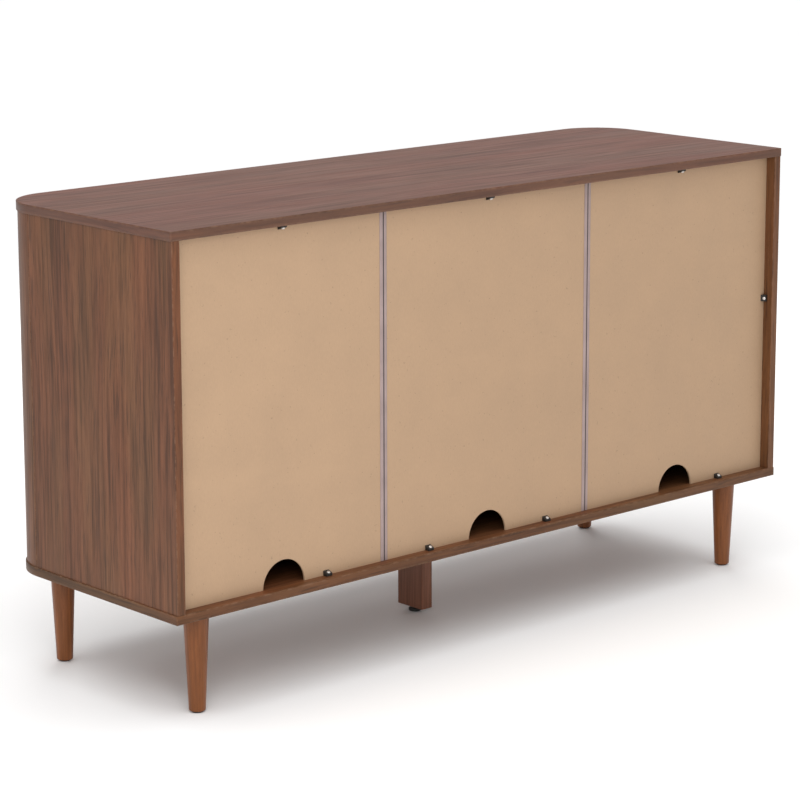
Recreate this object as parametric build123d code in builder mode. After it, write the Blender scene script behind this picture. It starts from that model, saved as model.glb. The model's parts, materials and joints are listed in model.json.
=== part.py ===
"""Sideboard buffet: a walnut-finish case on tapered legs, with rounded front corners.

Seen from the front, the doors face -Y, the right-hand side is +X and Z is up.
The origin is on the floor, in the middle of the whole object. All sizes are in millimetres.
"""
from build123d import *
import os
from math import cos, radians, sin, tan

os.makedirs("parts", exist_ok=True)

# --- Case: driving sizes ---
overall_width = 1400.0          # top and bottom panels, side to side
case_depth = 465.0              # top and bottom panels, front edge to back edge
overall_height = 780.0          # floor to the upper face of the top panel
leg_height = 168.0              # floor to the underside of the bottom panel
board_thickness = 15.0          # every case board
panel_overhang = 2.0            # the top and bottom stand proud of the sides and the front
corner_radius = 90.0            # outside radius of the rounded front corner posts
edge_break = 0.8                # small rounding on the edges of top and bottom
seam_bevel = 0.6                # eased edge where a side panel meets its corner post
middle_bay_width = 377.0        # clear width between the two partitions

# --- Back: three fibreboard panels in a groove, joined by two plastic strips ---
back_recess = 20.0              # case back edge to the outer face of the back panels
back_panel_thickness = 3.0
groove_depth = 6.0              # how deep the groove goes into the case boards
groove_clearance = 0.3          # room on each side of the back panel in its groove
groove_end_clearance = 1.0      # room beyond the edge of the back panel in its groove
right_back_panel_width = 427.0  # visible width, from the side panel to the strip's middle
left_back_panel_width = 468.0
strip_width = 15.0              # outer flange of a joint strip
strip_flange = 1.4
strip_web = 1.6
strip_slot_clearance = 0.1      # between a flange and the face of a back panel
strip_edge_clearance = 0.6      # between the web and the edge of a back panel
strip_end_clearance = 0.5
strip_line_width = 2.0          # shallow channel along the middle of the outer flange
strip_line_depth = 0.9
cable_hole_radius = 43.0        # half-round cable cut-out in each back panel
board_back_clearance = 0.8      # partition or shelf to the inner flange of a joint strip

# --- Back panel clips: plastic wedges with one slanting screw each ---
clip_length = 12.0
clip_height = 8.5
clip_reach = 9.0                # how far a clip stands out from the back panel
clip_tilt = 25.0                # degrees between the screw and the height of the clip
clip_screw_reach = 6.3          # from the back panel to the middle of the screw head
clip_screw_radius = 1.0
clip_screw_length = 15.0
clip_head_radius = 2.9
clip_head_height = 1.9
recess_length = 3.0             # cross recess in the head of a screw
recess_width = 0.7
recess_depth = 0.9
middle_clip_offset = 137.5      # from the middle of a back panel to its lower clips
right_clip_offset = -88.0
left_clip_offset = -112.0
side_clip_height = 335.0        # above the underside of the bottom panel

# --- Doors ---
door_thickness = 16.0
door_gap = 2.0                  # above, below and beside each door
door_to_door_gap = 3.0
door_to_partition_gap = 2.0
door_edge_break = 1.0
pivot_pin_radius = 3.0
pivot_pin_in_door = 18.0
pivot_pin_in_bush = 6.0
pivot_clearance = 0.05          # radial, between the pin and its bush
bush_wall = 2.0
bush_length = 9.0
bush_flange_radius = 7.0
bush_flange_clearance = 0.3     # between the flange and the edge of the door

# --- Door knobs ---
knob_projection = 24.0
knob_head_radius = 14.0
knob_neck_radius = 6.0
knob_foot_radius = 9.0
knob_foot_height = 3.0
knob_rim_height = 5.0            # height of the domed crown
knob_flare = 5.0                # from the neck to the widest part of the head
knob_from_edge = 32.0
knob_screw_radius = 2.0
knob_screw_in_knob = 12.0
screw_head_radius = 4.0
screw_head_height = 2.2

# --- Magnetic catches, strike plates and bumpers ---
catch_length = 46.0
catch_body_length = 30.0
catch_depth = 16.0
catch_height = 12.0
catch_ear_thickness = 3.0
catch_from_partition = 5.0
catch_screw_radius = 1.5
catch_screw_length = 12.0
magnet_length = 24.0
magnet_height = 5.0
magnet_depth = 8.0
magnet_stand_out = 0.2
strike_length = 34.0
strike_height = 11.0
strike_thickness = 1.4
strike_drop = 1.0               # below the upper edge of the door
strike_stud_radius = 2.0
strike_stud_length = 8.0
strike_clearance = 0.4          # between the strike plate and the magnet
bumper_radius = 2.5
bumper_clearance = 0.3          # between a bumper and the partition
bumper_from_edge = 3.0
bumper_from_end = 60.0

# --- Shelves and their pins ---
shelf_thickness = 15.0
shelf_side_clearance = 1.0
shelf_front_setback = 4.0       # behind the start of the rounded corner
shelf_rise = 282.0              # bottom panel to the underside of a shelf
shelf_pin_radius = 2.5
shelf_pin_in_board = 7.0
shelf_pin_reach = 8.0
shelf_pin_inset = 55.0          # from the front and back edges of the shelf

# --- Case fittings: cam locks, cam bolts and dowels ---
cam_radius = 7.5
cam_depth = 12.5                # a cam is as deep as its pocket, so its face is flush
cam_from_end = 24.0
cam_inset = 70.0
cam_bolt_radius = 3.0
cam_bolt_bore_radius = 3.3
cam_thread_radius = 2.5
cam_thread_length = 10.0
cam_channel_radius = 3.8
cam_slot_length = 9.0
cam_slot_width = 1.6
cam_slot_depth = 1.5
dowel_radius = 4.0
dowel_in_face = 10.0
dowel_in_end = 20.0
dowel_inset = 30.0
post_dowel_angles = (25.0, 65.0)

# --- Legs ---
leg_top_radius = 21.0
leg_bottom_radius = 13.5
leg_foot_round = 2.0
leg_from_side = 79.0            # side edge of the panels to the leg's axis
leg_from_edge = 54.5            # front or back edge of the panels to the leg's axis
leg_glide_radius = 9.5
leg_glide_thickness = 2.5
hanger_bolt_radius = 4.0
hanger_bolt_in_leg = 32.0
insert_nut_radius = 6.0
insert_nut_length = 12.0
bolt_end_clearance = 1.0

# --- Centre leg and its adjustable glide ---
center_leg_width = 24.0
center_leg_depth = 63.0
center_leg_setback = 8.5         # from the middle of the depth towards the back
center_leg_floor_gap = 10.0     # floor to the lower end of the centre leg
center_leg_screw_spacing = 32.0
center_leg_screw_radius = 2.25
center_leg_screw_length = 50.0
center_leg_screw_head_radius = 4.5
glide_pad_radius = 11.0
glide_pad_thickness = 5.0
glide_floor_clearance = 0.6     # the glide hangs just clear of the floor
glide_stem_radius = 3.0
glide_stem_length = 26.0
glide_stem_clearance = 0.06
glide_nut_radius = 5.0
glide_nut_length = 14.0
glide_travel_room = 6.0

# --- Places worked out from the sizes above ---
half_width = overall_width / 2
knob_beyond_panel = knob_projection - panel_overhang
back_y = (case_depth + knob_beyond_panel) / 2
panel_front_y = back_y - case_depth
body_front_y = panel_front_y + panel_overhang
panel_mid_y = (panel_front_y + back_y) / 2
center_leg_mid_y = panel_mid_y + center_leg_setback
side_x = half_width - panel_overhang
side_inner_x = side_x - board_thickness
bottom_z = leg_height
bay_floor_z = bottom_z + board_thickness
bay_top_z = overall_height - board_thickness
bay_height = bay_top_z - bay_floor_z
panel_corner_radius = corner_radius + panel_overhang
corner_x = side_x - corner_radius
corner_y = body_front_y + corner_radius

back_outer_y = back_y - back_recess
back_inner_y = back_outer_y - back_panel_thickness
groove_back_y = back_outer_y + groove_clearance
groove_front_y = back_inner_y - groove_clearance
strip_inner_y = back_inner_y - strip_slot_clearance - strip_flange
board_back_y = strip_inner_y - board_back_clearance
right_strip_x = side_inner_x - right_back_panel_width
left_strip_x = -side_inner_x + left_back_panel_width

door_back_y = body_front_y + door_thickness
partition_front_y = door_back_y + door_to_partition_gap
partition_inner_x = middle_bay_width / 2
partition_outer_x = partition_inner_x + board_thickness
partition_mid_x = (partition_inner_x + partition_outer_x) / 2
door_bottom_z = bay_floor_z + door_gap
door_top_z = bay_top_z - door_gap
door_height = door_top_z - door_bottom_z
pivot_radius = door_thickness / 2
pivot_y = body_front_y + pivot_radius
outer_door_edge_x = corner_x - door_gap
side_door_free_x = partition_mid_x + door_to_door_gap / 2
middle_door_edge_x = partition_mid_x - door_to_door_gap / 2

shelf_z = bay_floor_z + shelf_rise
shelf_front_y = corner_y + shelf_front_setback
shelf_pin_z = shelf_z - shelf_pin_radius

leg_x = half_width - leg_from_side
front_leg_y = panel_front_y + leg_from_edge
back_leg_y = back_y - leg_from_edge

BOTH_SIDES = {"left": -1, "right": 1}


def span_box(x_span, y_span, z_span, mode=Mode.ADD):
    """A box between three pairs of faces, in the part being built."""
    x_low, x_high = min(x_span), max(x_span)
    with Locations(((x_low + x_high) / 2, (y_span[0] + y_span[1]) / 2, (z_span[0] + z_span[1]) / 2)):
        Box(x_high - x_low, y_span[1] - y_span[0], z_span[1] - z_span[0], mode=mode)


def bore(start, direction, radius, length, mode=Mode.SUBTRACT):
    """A cylinder that starts at a point and runs along a direction, cut out unless told otherwise."""
    axis = Plane(origin=start, z_dir=direction)
    with Locations(axis.location):
        Cylinder(radius, length, align=(Align.CENTER, Align.CENTER, Align.MIN), mode=mode)


def finish(piece, name):
    """Name a piece and write it to its own file."""
    piece.label = name
    export_step(piece, f"parts/{name}.step")


# --- Where the fittings go ---

def end_places(y_front, y_back, inset):
    """The two places along the end of an upright board, one near each edge."""
    return (y_front + inset, y_back - inset)


# An upright is (middle x, outer face the cams are set in, side of that face, front y, back y).
uprights = []
for turn in (-1, 1):
    uprights.append((turn * (side_x - board_thickness / 2), turn * side_inner_x, -turn, corner_y,
                     groove_front_y))
    uprights.append((turn * partition_mid_x, turn * partition_outer_x, turn, partition_front_y,
                     board_back_y))

# Each end is (height of the joint, direction from the upright into the panel).
upright_ends = ((bay_floor_z, -1), (bay_top_z, 1))

cam_places = []
dowel_places = []
for middle_x, face_x, face_side, y_front, y_back in uprights:
    for end_z, into_panel in upright_ends:
        for y in end_places(y_front, y_back, cam_inset):
            cam_places.append((middle_x, face_x, face_side, y, end_z, into_panel))
        for y in end_places(y_front, y_back, dowel_inset):
            dowel_places.append(((middle_x, y, end_z), (0, 0, into_panel)))
for turn in (-1, 1):
    for end_z, into_panel in upright_ends:
        for angle in post_dowel_angles:
            reach = corner_radius - board_thickness / 2
            x = turn * (corner_x + reach * cos(radians(angle)))
            y = corner_y - reach * sin(radians(angle))
            dowel_places.append(((x, y, end_z), (0, 0, into_panel)))
    for share in (0.15, 0.5, 0.85):
        seam_point = (turn * (side_x - board_thickness / 2), corner_y, bay_floor_z + share * bay_height)
        dowel_places.append((seam_point, (0, -1, 0)))

shelf_bays = {
    "left": (-side_inner_x, -partition_outer_x),
    "middle": (-partition_inner_x, partition_inner_x),
    "right": (partition_outer_x, side_inner_x),
}
shelf_pin_places = []
for x_low, x_high in shelf_bays.values():
    for y in end_places(shelf_front_y, board_back_y, shelf_pin_inset):
        shelf_pin_places.append(((x_low, y, shelf_pin_z), 1))
        shelf_pin_places.append(((x_high, y, shelf_pin_z), -1))


def cut_dowel_holes():
    """Half of every dowel hole is in each of its two boards; what misses the board cuts nothing."""
    for (x, y, z), direction in dowel_places:
        forward = Vector(*direction)
        start = Vector(x, y, z) - forward * dowel_in_end
        bore(start, forward, dowel_radius, dowel_in_end + dowel_in_face)


def cut_cam_holes():
    """Pocket, bolt bore and thread hole of every cam lock."""
    for middle_x, face_x, face_side, y, end_z, into_panel in cam_places:
        cam_z = end_z - into_panel * cam_from_end
        bore((face_x, y, cam_z), (-face_side, 0, 0), cam_radius, cam_depth)
        bore((middle_x, y, end_z), (0, 0, -into_panel), cam_bolt_bore_radius, cam_from_end)
        bore((middle_x, y, end_z), (0, 0, into_panel), cam_thread_radius, cam_thread_length)


def cut_shelf_pin_holes():
    """Blind holes for the shelf pins."""
    for point, inward in shelf_pin_places:
        bore(point, (-inward, 0, 0), shelf_pin_radius, shelf_pin_in_board)


def cut_back_groove():
    """The groove that runs round the inside of the case and holds the back panels."""
    groove_x = side_inner_x + groove_depth
    groove_z = (bay_floor_z - groove_depth, bay_top_z + groove_depth)
    span_box((-groove_x, groove_x), (groove_front_y, groove_back_y), groove_z, mode=Mode.SUBTRACT)


# --- Back panel clips: one wedge, copied to every place ---
# In a clip's own frame X runs along the board, Y points away from the back panel and Z away
# from the board.
clip_slope = tan(radians(clip_tilt))
clip_screw_z = clip_height - clip_screw_reach * clip_slope
clip_outer_z = clip_height - clip_reach * clip_slope
clip_screw_plane = Plane(
    origin=(0, clip_screw_reach, clip_screw_z),
    x_dir=(1, 0, 0),
    z_dir=(0, sin(radians(clip_tilt)), cos(radians(clip_tilt))),
)

right_panel_mid_x = (right_strip_x + side_inner_x) / 2
middle_panel_mid_x = (left_strip_x + right_strip_x) / 2
left_panel_mid_x = (left_strip_x - side_inner_x) / 2
lower_clip_xs = (
    left_panel_mid_x + left_clip_offset,
    middle_panel_mid_x - middle_clip_offset,
    middle_panel_mid_x + middle_clip_offset,
    right_panel_mid_x + right_clip_offset,
)
upper_clip_xs = (left_panel_mid_x, middle_panel_mid_x, right_panel_mid_x)
clip_locations = []
for x in lower_clip_xs:
    clip_locations.append(Plane((x, back_outer_y, bay_floor_z), x_dir=(1, 0, 0), z_dir=(0, 0, 1)).location)
for x in upper_clip_xs:
    clip_locations.append(Plane((x, back_outer_y, bay_top_z), x_dir=(-1, 0, 0), z_dir=(0, 0, -1)).location)
side_clip_z = bottom_z + side_clip_height
for turn in (-1, 1):
    corner = (turn * side_inner_x, back_outer_y, side_clip_z)
    clip_locations.append(Plane(corner, x_dir=(0, 0, turn), z_dir=(-turn, 0, 0)).location)


def cut_clip_screw_holes():
    """Pilot holes for the clip screws."""
    with Locations(*[place * clip_screw_plane.location for place in clip_locations]):
        Cylinder(clip_screw_radius, clip_screw_length,
                 align=(Align.CENTER, Align.CENTER, Align.MAX), mode=Mode.SUBTRACT)


# --- Top and bottom panels ---

pivot_xs = {
    "left": -outer_door_edge_x + pivot_radius,
    "middle": middle_door_edge_x - pivot_radius,
    "right": outer_door_edge_x - pivot_radius,
}
catch_places = {
    "left": -partition_outer_x - catch_from_partition - catch_length / 2,
    "middle": -partition_inner_x + catch_from_partition + catch_length / 2,
    "right": partition_outer_x + catch_from_partition + catch_length / 2,
}
strike_face_y = door_back_y + strike_thickness
catch_front_y = strike_face_y + strike_clearance + magnet_stand_out
catch_screw_y = catch_front_y + catch_depth / 2
catch_screw_shift = (catch_length + catch_body_length) / 4

with BuildPart() as top_panel:
    with BuildSketch(Plane.XY.offset(bay_top_z)) as top_outline:
        with Locations((0, panel_mid_y)):
            Rectangle(overall_width, case_depth)
        fillet(top_outline.vertices().group_by(Axis.Y)[0], panel_corner_radius)
    extrude(amount=board_thickness)
    fillet(top_panel.faces().sort_by(Axis.Z)[-1].edges(), edge_break)
    fillet(top_panel.faces().sort_by(Axis.Z)[0].edges(), edge_break)
    cut_back_groove()
    cut_dowel_holes()
    cut_cam_holes()
    cut_clip_screw_holes()
    for pivot_x in pivot_xs.values():
        bore((pivot_x, pivot_y, bay_top_z), (0, 0, 1), pivot_pin_radius + bush_wall, bush_length)
    for catch_x in catch_places.values():
        for shift in (-catch_screw_shift, catch_screw_shift):
            screw_start = (catch_x + shift, catch_screw_y, bay_top_z)
            bore(screw_start, (0, 0, 1), catch_screw_radius, catch_screw_length - catch_ear_thickness)
finish(top_panel.part, "top_panel")

with BuildPart() as bottom_panel:
    with BuildSketch(Plane.XY.offset(bottom_z)) as bottom_outline:
        with Locations((0, panel_mid_y)):
            Rectangle(overall_width, case_depth)
        fillet(bottom_outline.vertices().group_by(Axis.Y)[0], panel_corner_radius)
    extrude(amount=board_thickness)
    fillet(bottom_panel.faces().sort_by(Axis.Z)[-1].edges(), edge_break)
    fillet(bottom_panel.faces().sort_by(Axis.Z)[0].edges(), edge_break)
    cut_back_groove()
    cut_dowel_holes()
    cut_cam_holes()
    cut_clip_screw_holes()
    for pivot_x in pivot_xs.values():
        bore((pivot_x, pivot_y, bay_floor_z), (0, 0, -1), pivot_pin_radius + bush_wall, bush_length)
    for y in (front_leg_y, back_leg_y):
        for x in (-leg_x, leg_x):
            bore((x, y, bottom_z), (0, 0, 1), insert_nut_radius, insert_nut_length)
    for shift in (-center_leg_screw_spacing / 2, center_leg_screw_spacing / 2):
        with Locations((0, center_leg_mid_y + shift, bay_floor_z)):
            CounterSinkHole(center_leg_screw_radius, center_leg_screw_head_radius, board_thickness)
finish(bottom_panel.part, "bottom_panel")

# --- Side panels, rounded corner posts and partitions ---

for side, turn in BOTH_SIDES.items():
    with BuildPart() as side_panel:
        span_box((turn * side_inner_x, turn * side_x), (corner_y, back_y), (bay_floor_z, bay_top_z))
        seam_edges = side_panel.edges().filter_by(Axis.Z).sort_by(lambda edge: edge.center().Y)[:2]
        chamfer(seam_edges.sort_by(lambda edge: abs(edge.center().X))[-1], seam_bevel)
        cut_back_groove()
        cut_dowel_holes()
        cut_cam_holes()
        cut_shelf_pin_holes()
        cut_clip_screw_holes()
    finish(side_panel.part, f"{side}_side_panel")

    with BuildPart() as corner_post:
        with BuildSketch(Plane.XY.offset(bay_floor_z)):
            with BuildLine():
                start_angle = -90 if turn > 0 else 180
                outer = CenterArc((turn * corner_x, corner_y), corner_radius, start_angle, 90)
                inner = CenterArc((turn * corner_x, corner_y), corner_radius - board_thickness,
                                  start_angle, 90)
                Line(outer @ 0, inner @ 0)
                Line(outer @ 1, inner @ 1)
            make_face()
        extrude(amount=bay_height)
        upright_edges = corner_post.edges().filter_by(Axis.Z)
        outer_edges = upright_edges.sort_by(lambda edge: abs(edge.center().X) - edge.center().Y)
        side_edge = outer_edges.sort_by(lambda edge: abs(edge.center().X))[-1]
        front_edge = outer_edges.sort_by(lambda edge: edge.center().Y)[0]
        chamfer([side_edge, front_edge], seam_bevel)
        cut_dowel_holes()
    finish(corner_post.part, f"{side}_corner_post")

    with BuildPart() as partition:
        span_box((turn * partition_inner_x, turn * partition_outer_x), (partition_front_y, board_back_y),
                 (bay_floor_z, bay_top_z))
        cut_dowel_holes()
        cut_cam_holes()
        cut_shelf_pin_holes()
    finish(partition.part, f"{side}_partition")

# --- Back panels and the strips that join them ---

panel_overlap = groove_depth - groove_end_clearance
strip_half_gap = strip_web / 2 + strip_edge_clearance
back_panel_spans = {
    "left": (-side_inner_x - panel_overlap, left_strip_x - strip_half_gap, left_panel_mid_x),
    "middle": (left_strip_x + strip_half_gap, right_strip_x - strip_half_gap, middle_panel_mid_x),
    "right": (right_strip_x + strip_half_gap, side_inner_x + panel_overlap, right_panel_mid_x),
}
for place, (x_low, x_high, hole_x) in back_panel_spans.items():
    with BuildPart() as back_panel:
        span_box((x_low, x_high), (back_inner_y, back_outer_y),
                 (bay_floor_z - panel_overlap, bay_top_z + panel_overlap))
        bore((hole_x, back_inner_y, bay_floor_z), (0, 1, 0), cable_hole_radius, back_panel_thickness)
        span_box((hole_x - cable_hole_radius, hole_x + cable_hole_radius), (back_inner_y, back_outer_y),
                 (bay_floor_z - panel_overlap, bay_floor_z), mode=Mode.SUBTRACT)
    finish(back_panel.part, f"{place}_back_panel")

for side, strip_x in (("left", left_strip_x), ("right", right_strip_x)):
    with BuildPart() as joint_strip:
        strip_z = (bay_floor_z + strip_end_clearance, bay_top_z - strip_end_clearance)
        half_strip = strip_width / 2
        flange_start_y = back_outer_y + strip_slot_clearance
        flange_end_y = flange_start_y + strip_flange
        span_box((strip_x - half_strip, strip_x + half_strip), (flange_start_y, flange_end_y), strip_z)
        span_box((strip_x - half_strip, strip_x + half_strip),
                 (strip_inner_y, strip_inner_y + strip_flange), strip_z)
        span_box((strip_x - strip_web / 2, strip_x + strip_web / 2), (strip_inner_y, flange_end_y), strip_z)
        span_box((strip_x - strip_line_width / 2, strip_x + strip_line_width / 2),
                 (flange_end_y - strip_line_depth, flange_end_y), strip_z, mode=Mode.SUBTRACT)
    finish(joint_strip.part, f"{side}_joint_strip")

# --- Back panel clips and their screws ---

with BuildPart() as one_clip:
    with BuildSketch(Plane.YZ.offset(-clip_length / 2)):
        with BuildLine():
            Polyline((0, 0), (clip_reach, 0), (clip_reach, clip_outer_z), (0, clip_height), close=True)
        make_face()
    extrude(amount=clip_length)
    with Locations(clip_screw_plane.location):
        Cylinder(clip_screw_radius, clip_screw_length,
                 align=(Align.CENTER, Align.CENTER, Align.MAX), mode=Mode.SUBTRACT)

with BuildPart() as back_clips:
    with Locations(*clip_locations):
        add(one_clip.part)
finish(back_clips.part, "back_clips")

with BuildPart() as one_clip_screw:
    with Locations(clip_screw_plane.location):
        Cylinder(clip_screw_radius, clip_screw_length, align=(Align.CENTER, Align.CENTER, Align.MAX))
        Cylinder(clip_head_radius, clip_head_height, align=(Align.CENTER, Align.CENTER, Align.MIN))
    fillet(one_clip_screw.edges().filter_by(GeomType.CIRCLE).sort_by(Axis.Z)[-1], clip_head_height * 0.6)
    with Locations(clip_screw_plane.offset(clip_head_height).location):
        Box(recess_length, recess_width, 2 * recess_depth, mode=Mode.SUBTRACT)
        Box(recess_width, recess_length, 2 * recess_depth, mode=Mode.SUBTRACT)

with BuildPart() as clip_screws:
    with Locations(*clip_locations):
        add(one_clip_screw.part)
finish(clip_screws.part, "clip_screws")

# --- Cam locks, their bolts and the dowels ---

with BuildPart() as cam_locks:
    for middle_x, face_x, face_side, y, end_z, into_panel in cam_places:
        cam_z = end_z - into_panel * cam_from_end
        bore((face_x, y, cam_z), (-face_side, 0, 0), cam_radius, cam_depth, mode=Mode.ADD)
    for middle_x, face_x, face_side, y, end_z, into_panel in cam_places:
        cam_z = end_z - into_panel * cam_from_end
        bore((middle_x, y, cam_z), (0, 0, into_panel), cam_channel_radius, cam_radius)
        with Locations((face_x, y, cam_z)):
            Box(2 * cam_slot_depth, cam_slot_length, cam_slot_width, mode=Mode.SUBTRACT)
            Box(2 * cam_slot_depth, cam_slot_width, cam_slot_length, mode=Mode.SUBTRACT)
finish(cam_locks.part, "cam_locks")

with BuildPart() as cam_bolts:
    for middle_x, face_x, face_side, y, end_z, into_panel in cam_places:
        toward_cam = (0, 0, -into_panel)
        bolt_reach = cam_from_end - cam_bolt_radius
        bore((middle_x, y, end_z), toward_cam, cam_bolt_radius, bolt_reach, mode=Mode.ADD)
        bore((middle_x, y, end_z), (0, 0, into_panel), cam_thread_radius, cam_thread_length, mode=Mode.ADD)
finish(cam_bolts.part, "cam_bolts")

with BuildPart() as dowels:
    for (x, y, z), direction in dowel_places:
        forward = Vector(*direction)
        start = Vector(x, y, z) - forward * dowel_in_end
        bore(start, forward, dowel_radius, dowel_in_end + dowel_in_face, mode=Mode.ADD)
finish(dowels.part, "dowels")

# --- Doors with their pivots, knobs, strike plates and bumpers ---

# Each door is (x of its free edge, side of the free edge as seen from the pivot).
door_free_edges = {
    "left": (-side_door_free_x, 1),
    "middle": (-middle_door_edge_x, -1),
    "right": (side_door_free_x, -1),
}
knob_z = (door_bottom_z + door_top_z) / 2
strike_z = door_top_z - strike_drop - strike_height / 2
bumper_zs = (door_bottom_z + bumper_from_end, door_top_z - bumper_from_end)
bumper_length = door_to_partition_gap - bumper_clearance
crown_radius = (knob_head_radius ** 2 + knob_rim_height ** 2) / (2 * knob_rim_height)
crown_sag = crown_radius - (crown_radius ** 2 - (knob_head_radius / 2) ** 2) ** 0.5

for place, (free_x, free_side) in door_free_edges.items():
    pivot_x = pivot_xs[place]
    knob_x = free_x - free_side * knob_from_edge
    bumper_x = free_x - free_side * bumper_from_edge
    strike_x = catch_places[place]
    pin_ends = ((door_bottom_z, -1), (door_top_z, 1))

    with BuildPart() as door:
        with BuildSketch(Plane.XY.offset(door_bottom_z)):
            with BuildLine():
                Polyline((pivot_x, door_back_y), (free_x, door_back_y), (free_x, body_front_y),
                         (pivot_x, body_front_y), close=True)
            make_face()
            with Locations((pivot_x, pivot_y)):
                Circle(pivot_radius)
        extrude(amount=door_height)
        upright_edges = door.edges().filter_by(Axis.Z)
        free_corners = upright_edges.filter_by(lambda edge: abs(edge.center().X - free_x) < 0.1)
        fillet(free_corners, door_edge_break)
        for end_z, outward in pin_ends:
            bore((pivot_x, pivot_y, end_z), (0, 0, -outward), pivot_pin_radius, pivot_pin_in_door)
        bore((knob_x, body_front_y, knob_z), (0, 1, 0), knob_screw_radius, door_thickness)
        bore((strike_x, door_back_y, strike_z), (0, -1, 0), strike_stud_radius, strike_stud_length)
    finish(door.part, f"{place}_door")

    with BuildPart() as pivot_pins:
        pin_length = pivot_pin_in_door + door_gap + pivot_pin_in_bush
        for end_z, outward in pin_ends:
            inner_end = (pivot_x, pivot_y, end_z - outward * pivot_pin_in_door)
            bore(inner_end, (0, 0, outward), pivot_pin_radius, pin_length, mode=Mode.ADD)
    finish(pivot_pins.part, f"{place}_door_pivot_pins")

    with BuildPart() as knob:
        face_y = body_front_y
        foot_y = face_y - knob_foot_height
        tip_y = face_y - knob_projection
        rim_y = tip_y + knob_rim_height
        with BuildSketch(Plane.YZ.offset(knob_x)):
            with BuildLine():
                Polyline((tip_y, knob_z), (face_y, knob_z), (face_y, knob_z + knob_foot_radius),
                         (foot_y, knob_z + knob_foot_radius), (foot_y, knob_z + knob_neck_radius),
                         (rim_y + knob_flare, knob_z + knob_neck_radius),
                         (rim_y, knob_z + knob_head_radius))
                ThreePointArc((rim_y, knob_z + knob_head_radius),
                              (tip_y + crown_sag, knob_z + knob_head_radius / 2), (tip_y, knob_z))
            make_face()
        revolve(axis=Axis((knob_x, 0, knob_z), (0, 1, 0)))
        bore((knob_x, body_front_y, knob_z), (0, -1, 0), knob_screw_radius, knob_screw_in_knob)
    finish(knob.part, f"{place}_door_knob")

    with BuildPart() as knob_screw:
        shank_start = (knob_x, door_back_y, knob_z)
        bore(shank_start, (0, -1, 0), knob_screw_radius, door_thickness + knob_screw_in_knob, mode=Mode.ADD)
        bore(shank_start, (0, 1, 0), screw_head_radius, screw_head_height, mode=Mode.ADD)
        fillet(knob_screw.edges().filter_by(GeomType.CIRCLE).sort_by(Axis.Y)[-1], screw_head_height * 0.6)
        with Locations((knob_x, door_back_y + screw_head_height, knob_z)):
            Box(recess_length, 2 * recess_depth, recess_width, mode=Mode.SUBTRACT)
            Box(recess_width, 2 * recess_depth, recess_length, mode=Mode.SUBTRACT)
    finish(knob_screw.part, f"{place}_door_knob_screw")

    with BuildPart() as strike_plate:
        span_box((strike_x - strike_length / 2, strike_x + strike_length / 2),
                 (door_back_y, strike_face_y), (strike_z - strike_height / 2, strike_z + strike_height / 2))
        fillet(strike_plate.edges().filter_by(Axis.Y), strike_height * 0.3)
        bore((strike_x, door_back_y, strike_z), (0, -1, 0), strike_stud_radius, strike_stud_length,
             mode=Mode.ADD)
    finish(strike_plate.part, f"{place}_door_strike_plate")

    with BuildPart() as bumpers:
        for bumper_z in bumper_zs:
            bore((bumper_x, door_back_y, bumper_z), (0, 1, 0), bumper_radius, bumper_length, mode=Mode.ADD)
        fillet(bumpers.edges().filter_by(GeomType.CIRCLE).group_by(Axis.Y)[-1], bumper_length * 0.5)
    finish(bumpers.part, f"{place}_door_bumpers")

bush_radius = pivot_pin_radius + bush_wall
flange_thickness = door_gap - bush_flange_clearance
with BuildPart() as pivot_bushes:
    for pivot_x in pivot_xs.values():
        for end_z, into_panel in upright_ends:
            bore((pivot_x, pivot_y, end_z), (0, 0, into_panel), bush_radius, bush_length, mode=Mode.ADD)
            bore((pivot_x, pivot_y, end_z), (0, 0, -into_panel), bush_flange_radius, flange_thickness,
                 mode=Mode.ADD)
    for pivot_x in pivot_xs.values():
        for end_z, into_panel in upright_ends:
            mouth = (pivot_x, pivot_y, end_z - into_panel * flange_thickness)
            bore_length = flange_thickness + pivot_pin_in_bush + bush_flange_clearance * 2
            bore(mouth, (0, 0, into_panel), pivot_pin_radius + pivot_clearance, bore_length)
finish(pivot_bushes.part, "pivot_bushes")

# --- Magnetic catches under the top panel ---

magnet_z = bay_top_z - catch_height / 2 - 1
with BuildPart() as catch_housings:
    for catch_x in catch_places.values():
        body_y = (catch_front_y, catch_front_y + catch_depth)
        span_box((catch_x - catch_body_length / 2, catch_x + catch_body_length / 2), body_y,
                 (bay_top_z - catch_height, bay_top_z))
        span_box((catch_x - catch_length / 2, catch_x + catch_length / 2), body_y,
                 (bay_top_z - catch_ear_thickness, bay_top_z))
    for catch_x in catch_places.values():
        span_box((catch_x - magnet_length / 2, catch_x + magnet_length / 2),
                 (catch_front_y, catch_front_y + magnet_depth),
                 (magnet_z - magnet_height / 2, magnet_z + magnet_height / 2), mode=Mode.SUBTRACT)
        for shift in (-catch_screw_shift, catch_screw_shift):
            ear_face = (catch_x + shift, catch_screw_y, bay_top_z - catch_ear_thickness)
            bore(ear_face, (0, 0, 1), catch_screw_radius, catch_ear_thickness)
finish(catch_housings.part, "catch_housings")

with BuildPart() as catch_magnets:
    for catch_x in catch_places.values():
        span_box((catch_x - magnet_length / 2, catch_x + magnet_length / 2),
                 (catch_front_y - magnet_stand_out, catch_front_y + magnet_depth),
                 (magnet_z - magnet_height / 2, magnet_z + magnet_height / 2))
finish(catch_magnets.part, "catch_magnets")

with BuildPart() as catch_screws:
    for catch_x in catch_places.values():
        for shift in (-catch_screw_shift, catch_screw_shift):
            ear_face = (catch_x + shift, catch_screw_y, bay_top_z - catch_ear_thickness)
            bore(ear_face, (0, 0, 1), catch_screw_radius, catch_screw_length, mode=Mode.ADD)
            bore(ear_face, (0, 0, -1), clip_head_radius, clip_head_height, mode=Mode.ADD)
finish(catch_screws.part, "catch_screws")

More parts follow.
